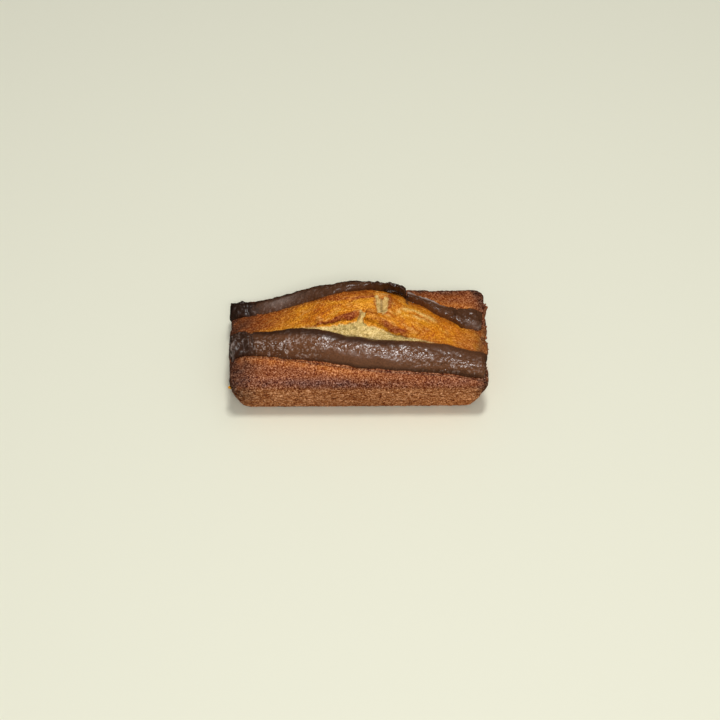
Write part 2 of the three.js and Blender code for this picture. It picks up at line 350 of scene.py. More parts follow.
def copy_of(node, name):
    """A new piece that starts as the solid of one node, with its loose triangles merged."""
    piece = bpy.data.objects.new(name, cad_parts[node].data.copy())
    bpy.context.scene.collection.objects.link(piece)
    piece.data.materials.clear()
    open_in_edit_mode(piece, "VERT", "SELECT")
    bpy.ops.mesh.customdata_custom_splitnormals_clear()
    bpy.ops.mesh.remove_doubles(threshold=MERGE_GAP)
    bpy.ops.mesh.tris_convert_to_quads(face_threshold=math.radians(50), shape_threshold=math.radians(70))
    leave_edit_mode()
    return piece


def finish_with(piece, kind, **settings):
    """Adds one modifier and applies it."""
    modifier = piece.modifiers.new(kind.title(), kind)
    for key, value in settings.items():
        setattr(modifier, key, value)
    activate(piece)
    bpy.ops.object.modifier_apply(modifier=modifier.name)


def keep_edges(piece, angle):
    """Marks the sharp edges of a piece, so that smoothing leaves them."""
    open_in_edit_mode(piece, "EDGE", "DESELECT")
    bpy.ops.mesh.edges_select_sharp(sharpness=math.radians(angle))
    bpy.ops.transform.edge_crease(value=1)
    leave_edit_mode()


def thin_base(piece):
    """Makes one face of all the small faces that lie on the floor."""
    flat = np.abs(points_of(piece)[:, 2]) < FLAT_GAP
    corners = np.empty(len(piece.data.loops), np.int32)
    piece.data.loops.foreach_get("vertex_index", corners)
    starts = np.empty(len(piece.data.polygons), np.int32)
    piece.data.polygons.foreach_get("loop_start", starts)
    open_in_edit_mode(piece, "FACE", "DESELECT")
    leave_edit_mode()
    piece.data.polygons.foreach_set("select", np.logical_and.reduceat(flat[corners], starts))
    bpy.ops.object.mode_set(mode="EDIT")
    bpy.ops.mesh.delete(type="FACE")
    bpy.ops.mesh.select_all(action="SELECT")
    bpy.ops.mesh.fill_holes(sides=0)
    bpy.ops.mesh.select_all(action="SELECT")
    bpy.ops.mesh.normals_make_consistent(inside=False)
    leave_edit_mode()


def remodel(piece, cell, rounds):
    """Makes a piece smooth, then models it again in small even cells."""
    finish_with(piece, "SUBSURF", levels=2, render_levels=2)
    finish_with(piece, "REMESH", mode="VOXEL", voxel_size=cell, adaptivity=0)
    finish_with(piece, "SMOOTH", factor=0.5, iterations=rounds)


def read(piece, name):
    """Three numbers of each vertex of a piece."""
    flat = np.empty(len(piece.data.vertices) * 3, np.float32)
    piece.data.vertices.foreach_get(name, flat)
    return flat.reshape(-1, 3).astype(float)


def points_of(piece):
    """Places of a piece's vertices in millimetres."""
    return read(piece, "co") / MM


def normals_of(piece):
    return read(piece, "normal")


def move_points(piece, points):
    piece.data.vertices.foreach_set("co", (points * MM).astype(np.float32).ravel())
    piece.data.update()


def mark(piece, name, weights):
    """Keeps a value from 0 to 1 on each vertex, for the material."""
    made = piece.data.attributes.new(name, "FLOAT", "POINT")
    made.data.foreach_set("value", np.clip(weights, 0, 1).astype(np.float32))


def paint(piece, colour):
    """Keeps a colour on each vertex, for the material."""
    made = piece.data.attributes.new("paint", "FLOAT_COLOR", "POINT")
    flat = np.column_stack([colour, np.ones(len(colour))]).astype(np.float32)
    made.data.foreach_set("color", flat.ravel())


def swell(piece, name, size, depth, weights):
    """Raises and lowers the surface in soft clouds of one size, as much as the weights say."""
    texture = bpy.data.textures.new(name, "CLOUDS")
    texture.noise_scale = size * MM
    texture.noise_depth = 2
    group = piece.vertex_groups.new(name=name)
    steps = np.round(np.clip(weights, 0, 1) * WEIGHT_STEPS).astype(int)
    for step in range(1, WEIGHT_STEPS + 1):
        chosen = np.flatnonzero(steps == step)
        if len(chosen):
            group.add(chosen.tolist(), step / WEIGHT_STEPS, "REPLACE")
    finish_with(
        piece,
        "DISPLACE",
        texture=texture,
        texture_coords="LOCAL",
        direction="NORMAL",
        mid_level=0.5,
        strength=depth,
        vertex_group=name,
    )
    piece.vertex_groups.remove(piece.vertex_groups[name])


class Recipe:
    """Builds the nodes of one material."""

    def __init__(self, name):
        self.material = bpy.data.materials.new(name)
        self.material.use_nodes = True
        self.tree = self.material.node_tree
        self.place = self.add("TexCoord", {}, "Object")

    def feed(self, socket, value):
        """Links a socket to another node, or sets it to a number, a place or a colour."""
        if isinstance(value, bpy.types.NodeSocket):
            self.tree.links.new(value, socket)
        else:
            socket.default_value = (*value, 1) if socket.type == "RGBA" else value

    def add(self, kind, inputs, output=0, **settings):
        """Adds one node, feeds its inputs and gives one of its outputs."""
        node = self.tree.nodes.new("ShaderNode" + kind)
        for key, value in settings.items():
            setattr(node, key, value)
        for key, value in inputs.items():
            self.feed(node.inputs[key], value)
        return node.outputs[output]

    def noise(self, size, detail=2.0, rough=0.5, stretch=(1, 1, 1), shift=0.0):
        scale = [1 / (size * MM * longer) for longer in stretch]
        place = self.add("Mapping", {"Vector": self.place, "Location": (shift,) * 3, "Scale": scale})
        inputs = {"Vector": place, "Scale": 1, "Detail": detail, "Roughness": rough}
        return self.add("TexNoise", inputs, "Fac")

    def kept(self, name, output="Fac"):
        """What is kept on the vertices under a name."""
        return self.add("Attribute", {}, output, attribute_name=name)

    def work_out(self, kind, first, second):
        return self.add("Math", {0: first, 1: second}, operation=kind)

    def spread(self, value, low, high, to_low, to_high):
        ranges = {"From Min": low, "From Max": high, "To Min": to_low, "To Max": to_high}
        return self.add("MapRange", {"Value": value, **ranges}, "Result")

    def shade(self, colour, amount):
        """A colour made lighter or darker by a grey amount, 1 leaving it as it is."""
        return self.add("VectorMath", {0: colour, "Scale": amount}, operation="SCALE")

    def lift(self, colour, amount):
        """A colour with the same amount of grey added to or taken from all of it, as the eye sees it."""
        seen = self.add("Gamma", {"Color": colour, "Gamma": 1 / EYE_GAMMA})
        seen = self.add("VectorMath", {0: seen, 1: amount}, operation="ADD")
        seen = self.add("VectorMath", {0: seen, 1: (0.01, 0.01, 0.01)}, operation="MAXIMUM")
        return self.add("Gamma", {"Color": seen, "Gamma": EYE_GAMMA})

    def relief(self, height, depth, below=None):
        inputs = {"Strength": 1, "Distance": depth, "Height": height}
        if below is not None:
            inputs["Normal"] = below
        return self.add("Bump", inputs)

    def set(self, name, value):
        self.feed(self.tree.nodes["Principled BSDF"].inputs[name], value)


def crust_material():
    """Crust and crumb in the colours that were painted on, with a fine grain and painted glints on the dome.
    """
    crust = Recipe("baked_crust")
    fine = crust.noise(0.5, rough=0.7)
    dust = crust.noise(0.24, detail=1, shift=1.9)
    strands = crust.noise(0.42, detail=1, stretch=(3.2, 1, 1), shift=0.7)
    grains = crust.work_out("MULTIPLY", crust.spread(fine, 0.2, 0.8, -0.52, 0.52), crust.kept("rough"))
    layers = crust.work_out("MULTIPLY", crust.spread(strands, 0.2, 0.8, -0.42, 0.42), crust.kept("layered"))
    # Painted glints: light specks where the fine noise is high, on the dome.
    glow = crust.work_out("MULTIPLY", crust.spread(fine, 0.48, 0.8, 0, 0.5), crust.kept("painted_glints"))
    grey = crust.work_out("ADD", crust.work_out("ADD", grains, layers), glow)
    crust.set("Base Color", crust.lift(crust.kept("paint", "Color"), grey))
    crust.set("Roughness", crust.spread(fine, 0.3, 0.7, 0.65, 0.45))
    crust.set("Specular IOR Level", 0.2)
    crust.set("Normal", crust.relief(dust, 0.05 * MM, crust.relief(fine, 0.12 * MM)))
    return crust.material


def chocolate_material():
    """Piped chocolate in the colours that were painted on, with a gloss that its beads break up."""
    piped = Recipe("piped_chocolate")
    fine = piped.noise(0.5, detail=1, shift=2.2)
    colour = piped.kept("paint", "Color")
    piped.set("Base Color", piped.shade(colour, piped.spread(fine, 0.3, 0.7, 0.8, 1.2)))
    piped.set("Roughness", piped.spread(piped.kept("gloss"), 0, 1, 0.43, 0.25))
    piped.set("Specular IOR Level", 0.75)
    piped.set("Normal", piped.relief(fine, 0.05 * MM))
    return piped.material


def settle(piece, replaced):
    """Gives a piece smooth shading and ties it to the solids."""
    activate(piece)
    bpy.ops.object.shade_smooth()
    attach(piece, "root")
    if replaced:
        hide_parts(replaced)


def torn_edge(x):
    """Edge of the dome's crust along the split, ragged."""
    ragged = 0.45 * lumps_along(x, 2.6, 11) + 0.25 * lumps_along(x, 0.9, 12)
    return split_far(x) + ragged * torn_share(x)


def crumb_edge(x):
    """Upper edge of the bare crumb in the split."""
    left = 0.62 * (split_far(x) - split_near(x))
    right = 2.5 * np.exp(-(np.maximum(x, DOME_X) - DOME_X) / 13)
    width = np.where(x < DOME_X, left, right)
    ragged = 0.3 * lumps_along(x, 1.7, 13) + 0.2 * lumps_along(x, 0.7, 14)
    return split_near(x) + width + ragged * np.minimum(1, 0.6 * width)


def soft_spot(points, x, y, long, wide, strength):
    """Strongest at one place on the top, falling away all round it."""
    return strength * np.exp(-(((points[:, 0] - x) / long) ** 2) - ((points[:, 1] - y) / wide) ** 2)


def torn_patch(points, x, y, long, wide, turn, seed, taper=0.18, square=4, rag=1.0):
    """1 inside a ragged bare place, 0 outside; taper widens its upper end."""
    angle = math.radians(turn)
    dx = points[:, 0] - x
    dy = points[:, 1] - y
    along = (dx * math.cos(angle) + dy * math.sin(angle)) / (long / 2)
    across = (dy * math.cos(angle) - dx * math.sin(angle)) / (wide / 2)
    along = along / (1 + taper * np.clip(across, -1, 1))
    ragged = rag * (0.2 * lumps(points, 1.2, seed) + 0.16 * lumps(points, 0.55, seed + 40))
    return ease(1.12, 0.88, (np.abs(along) ** square + np.abs(across) ** square) ** (1 / square) + ragged)


class Baked:
    """Where each vertex of the baked cake lies: places, distances and shares that shape and colour it."""

    def __init__(self, points, normals):
        self.points = points
        self.x, self.y, self.z = points.T
        front, back = front_line(self.x), back_line(self.x)
        self.top = ease(0.05, 0.4, normals[:, 2])
        self.torn = torn_share(self.x) * self.top
        self.over = self.y - torn_edge(self.x)
        self.below_crumb = crumb_edge(self.x) - self.y
        self.inside = from_rim(self.x, self.y)
        self.height = self.z - rim_height(self.x, self.y)
        self.wall = ease(0.7, -1.2, self.height)
        self.before_line = front - FRONT_LINE_HALF_WIDTH - self.y
        self.behind_line = self.y - front - FRONT_LINE_HALF_WIDTH
        self.before_back = back - BACK_LINE_HALF_WIDTH + pinch(self.x) + drawn(self.x) - self.y
        self.behind_back = self.y - back - BACK_LINE_HALF_WIDTH
        place = (self.y - front) / (back - front)
        reach = 0.12 * within(-2, 6, 32, 40, self.x)
        self.dome = ease(0.12, 0.24, place) * ease(1.0 + reach, 0.86 + reach, place) * self.top
        self.find_bare_crumb()
        self.find_flakes()
        self.find_streaks()
        self.find_grain()
        self.find_rims()

    def find_bare_crumb(self):
        """Bare crumb in the split, in the channel above it and in the chimney near the top."""
        points, x, y = self.points, self.x, self.y
        stem = torn_patch(points, *STEM, seed=31, taper=-0.4, rag=0.5)
        knob = torn_patch(points, *KNOB, seed=28, square=2.5, rag=0.4)
        chimney = torn_patch(points, *CHIMNEY, seed=32, taper=0.1, square=10)
        around = torn_patch(points, *CHIMNEY_RIM, seed=32, taper=0.1, square=10)
        wedge = ease(0.3, -0.2, np.abs(x - 8.8) - 0.38 * (y - 4.9) + 0.2 * lumps(points, 0.9, 30))
        self.chimney = chimney * (1 - wedge)
        self.chimney_rim = np.clip(around - self.chimney, 0, 1) * self.top
        self.crevice = hump(8.2, 0.45, x - 0.4 * lumps(points, 1.5, 37)) * ease(-1, 0.5, y) * self.chimney
        self.holes = np.maximum.reduce([stem, knob, self.chimney])
        in_split = ease(-0.2, 0.25, self.below_crumb) * ease(-1.2, -0.4, y - split_near(x))
        in_split = in_split * within(-20, -17, 23, 27, x)
        self.bare = np.maximum(in_split, self.holes) * self.top
        self.crust = 1 - self.bare

    def find_flakes(self):
        """Flakes, the cap and flap beside the chimney, and the fold along the crease."""
        points, x, y = self.points, self.x, self.y
        self.cap = torn_patch(points, *CAP, seed=35) * self.top
        self.flap = torn_patch(points, *FLAP, seed=36) * self.top
        curl = 1.8 - 0.045 * (x - 20) ** 2 + 0.5 * lumps(points, 1.6, 33)
        second = curl - 2.4 + 0.4 * lumps(points, 1.2, 34)
        on_curl = hump(0, 0.7, y - curl) * within(12.5, 14.5, 24.5, 27, x)
        on_second = 0.7 * hump(0, 0.4, y - second) * within(14, 17, 22, 25, x)
        curls = np.maximum(on_curl, on_second) * ease(-0.7, 0.0, lumps(points, 1.1, 38))
        self.flakes = np.maximum(curls, soft_spot(points, *FLAKE_SPOT)) * self.top
        self.fold = y - crease(x) - 0.3 * lumps(points, (2.5, 9, 9), 39)
        self.folded = within(-34, -27, 5, 7, x) * self.dome

    def find_streaks(self):
        """Browned edges of the torn crust, one on each side of the channel."""
        x = self.x
        left = x < CHANNEL_X
        low = np.where(left, -0.55 + 0.5 * ease(-1.5, 1.2, x), 0.15 + 1.2 * ease(7.5, 3.5, x))
        high = np.where(left, 0.2 + 1.35 * ease(-14, 1.2, x) ** 1.5, low + 1.5)
        ends = np.maximum(within(-23, -12, 1.0, 2.2, x), within(2.6, 4, 15, 19.5, x))
        over = self.over + 0.3 * lumps(self.points, 1.1, 15)
        band = ease(low - 0.2, low + 0.2, over) * ease(high + 0.5, high - 0.3, over)
        self.streak = band * ends * (1 - self.holes) * self.top

    def find_grain(self):
        """Mottling, crinkles, strands, grain, pits and pores, and the sheen and pale specks that are painted
        highlights.
        """
        points = self.points
        self.mottle = lumps(points, 2.1, 71) + 0.6 * lumps(points, 1.1, 72)
        self.uneven = 0.8 + 0.5 * self.mottle
        self.patches = lumps(points, (6, 3.5, 5), 73) + 0.6 * lumps(points, (2.8, 1.6, 2.4), 74)
        bowed = np.column_stack([self.x, self.y + 0.4 * np.hypot(self.x - DOME_X, 4), self.z])
        self.crinkle = 0.7 * lumps(bowed, (3.6, 0.8, 1.1), 21) + 0.6 * lumps(bowed, (1.7, 0.55, 0.7), 22)
        self.strands = lumps(bowed, (9, 1.2, 2), 24) + 0.5 * lumps(bowed, (5, 0.7, 1.2), 25)
        self.wisps = lumps(bowed, (6, 0.6, 1.2), 26) + 0.4 * lumps(bowed, (2.2, 0.5, 0.8), 27)
        # Painted highlight: a sheen along the bowed strands of the dome.
        self.painted_sheen = ease(0.2, 0.6, lumps(bowed, (0.9, 0.45, 0.5), 23)) * self.dome
        on_top = lumps(points, 0.55, 61)
        on_wall = lumps(points, (0.7, 0.7, 0.9), 66)
        self.grain = on_top + self.wall * (on_wall - on_top)
        self.lines = (lumps(points, (5, 5, 1.1), 69) + lumps(points, (2.6, 2.6, 0.65), 70)) * self.wall
        self.pits = ease(0.35, 0.7, lumps(points, (0.95, 0.95, 0.8), 67)) * (1 - 0.6 * self.dome)
        # Pale specks: painted glints on the crust.
        self.specks = ease(0.25, 0.6, lumps(points, 0.5, 68))
        self.pores = ease(0.25, 0.75, lumps(points, (1.5, 1.1, 1.0), 63) + 0.5 * lumps(points, 0.55, 64))

    def find_rims(self):
        """Crags along the rim, and where the rim swells out."""
        points, x, y = self.points, self.x, self.y
        rim = hump(0.2, 1.3, self.height)
        right_end = rim * ease(40.5, 42.8, x) * ease(0.0, 0.5, lumps(points, (2.3, 2.3, 3.5), 81))
        around = ease(2.5, 0.5, self.inside) * rim * ease(-12, -4, y + 0.3 * x)
        around = around * ease(0.1, 0.6, lumps(points, (2.2, 1.3, 1.7), 82))
        self.crags = 0.6 * right_end + 0.28 * around
        ends_and_back = np.maximum(ease(41, 43, np.abs(x)), ease(18, 21, y)) * ease(-16, -6, y)
        fuller = 1 + 1.4 * ease(36, 42, x) * ease(10, 18, y) + 0.6 * ease(41, 43, x)
        self.outer_rim = hump(0, 3, self.height) * ends_and_back * fuller
        self.front_corner = hump(-1.5, 2.5, self.height) * ease(39, 43, x) * ease(-11, -17, y)

    def graininess(self):
        """How grainy each place is: most on the shoulder, least in the torn places of the dome."""
        behind = ease(0, 3, self.behind_back) * self.top
        quiet = 1 - (0.52 - 0.14 * ease(8, 0, self.x)) * self.dome
        quiet = quiet * (1 - 0.2 * behind) * (1 - 0.1 * self.wall) * (1 - 0.3 * ease(-34, -41, self.x))
        on_crust = 0.85 * quiet
        on_crumb = 0.5 - 0.2 * self.holes * self.top
        return on_crust + (on_crumb - on_crust) * self.bare


def shaped(baked, normals, look):
    """Places of the vertices once the lips are curled and the crust is crinkled and grainy."""
    lip = hump(0.35, 0.75, baked.over) * baked.torn * baked.crust
    groove = hump(-0.7, 0.4, baked.over) * baked.torn
    out = look.lip / MM * np.maximum(lip, baked.streak) - 0.3 * groove
    out = out + (0.15 - 0.06 * ease(8, 14, baked.x)) * baked.crinkle * baked.dome * baked.crust
    out = out + 0.25 * baked.flakes + 0.35 * baked.flap + 0.3 * baked.cap
    out = out + baked.folded * (0.3 * ease(-0.4, 0.3, baked.fold) - 0.25 * hump(0, 0.3, baked.fold))
    out = out + 0.4 * hump(-13.5, 2.2, baked.x) * hump(0.6, 1.3, baked.y) * baked.dome
    rough = baked.grain - 1.2 * baked.pits
    out = out + look.grain / MM * rough * baked.crust * ease(0.3, 1.0, baked.z)
    out = out - look.pores / MM * baked.pores * baked.bare
    out = out + 0.22 * lumps(baked.points, 1.6, 65) * baked.bare - 0.9 * baked.crevice
    out = out + 0.85 * baked.crags + 0.35 * baked.outer_rim + 0.8 * baked.front_corner
    return baked.points + normals * out[:, None]


class Coat:
    """Colours of a piece's vertices, laid on one over another."""

    def __init__(self, tint, count):
        self.colour = np.tile(np.array(tint), (count, 1))

    def lay(self, tint, share):
        """Covers the colours with a tint, as much as the share says."""
        share = np.clip(share, 0, 1)[:, None]
        self.colour = self.colour + share * (np.array(tint) - self.colour)

    def lighten(self, share):
        """Makes the colours lighter by a share of themselves, or darker where it is below 0."""
        self.colour = self.colour * (1 + share)[:, None]


def lay_crust(coat, baked, look):
    """The walls, the shoulder before the lines and the crust behind them."""
    x, mottle = baked.x, baked.mottle
    coat.lay(look.wall, baked.wall)
    coat.lay(look.orange, 0.5 * baked.wall * ease(4, 38, x) * ease(12, 3, baked.z))
    shoulder = ease(-1, 0.2, baked.before_line) * baked.top
    beside = ease(4.2, 0.3, baked.before_line) * (1 - 0.8 * ease(-10, 15, x))
    coat.lay(look.orange, shoulder * beside * (0.9 + 0.4 * mottle))
    back_top = ease(14, 17, baked.y) * ease(1.5, 4, baked.inside) * within(10, 24, 38, 43, x)
    coat.lay(look.amber, 0.75 * back_top * (0.7 + 0.6 * mottle))


def lay_dome(coat, baked, look):
    """Gold of the dome, with patches, strands and wisps that are deeper or paler."""
    x = baked.x
    gold = baked.dome * ease(-44, -16, x) ** 1.5 * (1 - 0.5 * ease(24, 43, x))
    coat.lay(look.gold, gold * (1 + 0.2 * baked.mottle))
    coat.lay(look.amber, 0.4 * gold * ease(0.1, 0.8, baked.patches))
    coat.lay(look.yellow, 0.5 * gold * ease(-0.1, -0.8, baked.patches))
    coat.lay(look.amber, (0.42 - 0.15 * ease(8, 14, x)) * gold * ease(0.1, 0.8, baked.strands))
    coat.lay(look.yellow, 0.4 * gold * ease(-0.2, -0.8, baked.strands))
    wispy = gold * (1 - 0.5 * ease(14, 22, x))
    coat.lay(look.streak, 0.45 * wispy * ease(0.35, 0.6, baked.wisps))
    coat.lay(look.flake, 0.3 * wispy * ease(-0.35, -0.6, baked.wisps))


def lay_fold(coat, baked, look):
    """Darker crust beyond the crease, a paler band before it and a browned line along it."""
    folded, mottle = baked.folded, baked.mottle
    coat.lay(look.amber, 0.85 * folded * ease(-0.3, 0.4, baked.fold) * (0.8 + 0.4 * mottle))
    coat.lay(look.yellow, 0.7 * folded * hump(-1.3, 1.0, baked.fold) * (0.7 + 0.5 * mottle))
    coat.lay(look.streak, folded * hump(0.2, 0.45, baked.fold) * (0.85 + 0.3 * mottle))


def lay_dome_edges(coat, baked, look):
    """Crust of the dome along the two lines."""
    x, dome, mottle = baked.x, baked.dome, baked.mottle
    browned = 0.8 * dome * hump(0.6, 1.6, baked.before_back) * ease(2, -6, x)
    coat.lay(look.amber, browned * baked.uneven)
    darkest = 0.5 * dome * hump(0.2, 0.8, baked.before_back) * ease(-4, -14, x)
    coat.lay(look.end, darkest * (0.8 + 0.6 * mottle))
    coat.lay(look.yellow, 0.8 * dome * hump(0.7, 1.1, baked.behind_line) * within(-38, -32, -14, -6, x))
    palest = 0.3 * dome * hump(0.5, 0.5, baked.behind_line) * within(-32, -26, -16, -8, x)
    coat.lay(look.flake, palest * (0.7 + 0.6 * mottle))
    right = 0.6 * dome * hump(0.6, 1.2, baked.behind_line) * ease(14, 22, x)
    coat.lay(look.amber, right * (0.8 + 0.4 * mottle))
    upper_left = 0.5 * dome * ease(6, 0.5, baked.before_back) * within(-42, -30, -4, 6, x)
    coat.lay(look.amber, upper_left * baked.uneven)


def lay_dome_spots(coat, baked, look):
    """Single spots of the dome that are paler or deeper."""
    points, dome = baked.points, baked.dome
    for spot in YELLOW_SPOTS:
        coat.lay(look.yellow, soft_spot(points, *spot) * dome)
    coat.lay(look.amber, soft_spot(points, *MOTTLED_AMBER_SPOT) * dome * baked.uneven)
    for spot in AMBER_SPOTS:
        coat.lay(look.amber, soft_spot(points, *spot) * dome)


def lay_torn_crust(coat, baked, look):
    """Crust beside the bare places, and the dome's browned left end."""
    mottle = baked.mottle
    coat.lay(look.gold, hump(-1.1, 0.8, baked.over) * baked.torn)
    coat.lay(look.yellow, 0.8 * hump(0.4, 0.5, -baked.below_crumb) * baked.torn)
    coat.lay(look.flake, 0.9 * baked.flakes)
    coat.lay(look.flake, 0.5 * baked.cap * (0.7 + 0.5 * mottle))
    coat.lay(look.streak, 0.7 * baked.flap)
    coat.lay(look.streak, 0.6 * baked.chimney_rim * (0.7 + 0.6 * mottle))
    coat.lay(look.amber, 0.7 * baked.dome * ease(-18, -36, baked.x))


def lay_rims(coat, baked, look):
    """Dark band along the rim, and the darker ends and back rim."""
    x, y, height, mottle = baked.x, baked.y, baked.height, baked.mottle
    band = hump(1.4, 1.7, height) * ease(4.0, 1.0, baked.inside)
    coat.lay(look.band, band * (0.35 + 0.5 * hump(-12, 20, x) + 0.3 * mottle))
    left_end = ease(-29, -43, x) * ease(-14, -6, height)
    coat.lay(look.end, 0.9 * left_end * (0.9 + 0.35 * mottle))
    right_end = ease(36, 43.5, x) * ease(-6, 1, height)
    coat.lay(look.end, 0.6 * right_end * baked.uneven)
    right_corner = ease(38, 43, x) * ease(-11, -4, height) * ease(-8, -15, y)
    coat.lay(look.end, 0.6 * right_corner * baked.uneven)
    back_rim = ease(3.0, 0.5, baked.inside) * ease(12, 19, y) * ease(-8, -1, height)
    coat.lay(look.end, 0.85 * back_rim * baked.uneven)


def lay_behind(coat, baked, look):
    """Orange stripe behind the right piece of the back line, darker crust beyond it, and the crags."""
    x, behind, mottle = baked.x, baked.behind_back, baked.mottle
    stripe = hump(2.6, 2.8, behind) * within(19, 25, 37, 43, x) * baked.top
    coat.lay(look.orange, 0.95 * stripe * (0.85 + 0.4 * mottle))
    coat.lay(look.gold, 0.15 * stripe * (0.8 + 0.6 * mottle))
    beyond = ease(15.5, 20.5, baked.y) * ease(0.5, 3, behind) * baked.top
    coat.lay(look.end, 0.85 * beyond * (0.6 + 0.6 * mottle))
    coat.lay(look.streak, 0.5 * baked.crags * ease(38, 42, x))


def lay_crumb(coat, baked, look):
    """Browned edges of the torn crust, then the bare crumb with painted shade in its pores and hollows."""
    x, points, bare, mottle = baked.x, baked.points, baked.bare, baked.mottle
    coat.lay(look.streak, baked.streak * (0.85 - 0.45 * within(2, 4, 7, 12, x) + 0.4 * mottle))
    coat.lay(look.crumb, bare)
    # Painted shade over the sunken bare places.
    coat.lay(look.hollow_shade, 0.3 * baked.holes * baked.top * (0.8 + 0.6 * mottle))
    coat.lay(look.orange, 0.2 * baked.chimney * baked.top)
    # Painted shade in the pores.
    coat.lay(look.hollow_shade, 0.6 * bare * baked.pores)
    # Painted shade in darker spots of the crumb.
    for spot in HOLLOW_SPOTS:
        coat.lay(look.hollow_shade, bare * soft_spot(points, *spot) * baked.uneven)
    coat.lighten(bare * soft_spot(points, *PALE_SPOT))


def lay_shadows(coat, baked, look):
    """Dark of the crevice, of the snap and of the crust right beside the lines."""
    at_snap = hump(SNAP_X, 0.5, baked.x) * ease(4.3, 3.6, np.abs(baked.y - back_line(baked.x)))
    coat.lay(look.end, 0.6 * baked.crevice)
    coat.lay(look.end, 0.8 * at_snap)
    coat.lay(look.end, 0.6 * hump(0.1, 0.4, baked.before_line) * baked.top)
    coat.lay(look.end, 0.35 * hump(0.1, 0.3, baked.behind_line) * baked.top)
    coat.lay(look.end, 0.3 * hump(0, 0.25, baked.before_back) * baked.top)


def grain_of(baked):
    """Grey that the grain adds to each place or takes from it, with the painted highlights of the sheen and
    pale specks, as the eye sees it.
    """
    on_crust = (0.06 + 0.04 * baked.wall) * (1 - 0.75 * baked.dome) * baked.grain
    # Painted highlights: the sheen on the dome and the pale specks, most on the browned streaks; the rest is
    # grain.
    on_crust = on_crust + 0.05 * baked.lines - 0.05 * baked.pits + 0.05 * baked.painted_sheen
    on_crust = on_crust + (0.04 - 0.025 * baked.dome + 0.06 * baked.streak) * baked.specks
    on_crumb = 0.05 * lumps(baked.points, (0.7, 1.6, 1.2), 75)
    return baked.crust * on_crust + baked.bare * on_crumb


# In the order in which they cover each other
LAYERS = (
    lay_crust,
    lay_dome,
    lay_fold,
    lay_dome_edges,
    lay_dome_spots,
    lay_torn_crust,
    lay_rims,
    lay_behind,
    lay_crumb,
    lay_shadows,
)


def painted(baked, look):
    """Colour of each vertex of the baked cake."""
    coat = Coat(look.brown, len(baked.points))
    for layer in LAYERS:
        layer(coat, baked, look)
    coat.lighten((0.1 - 0.05 * ease(8, 14, baked.x)) * baked.crust * baked.dome * baked.crinkle)
    seen = np.clip(coat.colour, 0, 1) ** (1 / EYE_GAMMA) + grain_of(baked)[:, None]
    return np.clip(seen, 0, 1) ** EYE_GAMMA


class FINANCIER_OT_bake_cake(bpy.types.Operator):
    """Models the baked cake from its solid: grainy crust, torn lips, bare crumb"""

    bl_idname = "financier.bake_cake"
    bl_label = "Bake the cake"

    def execute(self, context):
        look = context.scene.financier_cake
        piece = copy_of("cake_body", "baked_cake")
        remodel(piece, look.cell, 4)
        off_base = ease(0.4, 1.2, points_of(piece)[:, 2])
        swell(piece, "crust_swell", 2.4, look.swell, off_base)
        normals = normals_of(piece)
        baked = Baked(points_of(piece), normals)
        moved = shaped(baked, normals, look)
        moved[:, 2] = np.where(moved[:, 2] < BASE_SNAP, 0, moved[:, 2])
        move_points(piece, moved)
        paint(piece, painted(baked, look))
        mark(piece, "rough", baked.graininess())
        # Share of the painted glints on the dome.
        mark(piece, "painted_glints", 0.12 * baked.dome * baked.crust)
        mark(piece, "layered", 0.15 * baked.dome * baked.crust + 0.55 * baked.wall)
        thin_base(piece)
        piece.data.materials.append(crust_material())
        settle(piece, "cake_body")
        return {"FINISHED"}


def outward(x, left=(-2, -28), right=(6, 34)):
    """0 in the middle of a line, 1 towards both its ends."""
    return np.maximum(ease(*right, x), ease(*left, x))


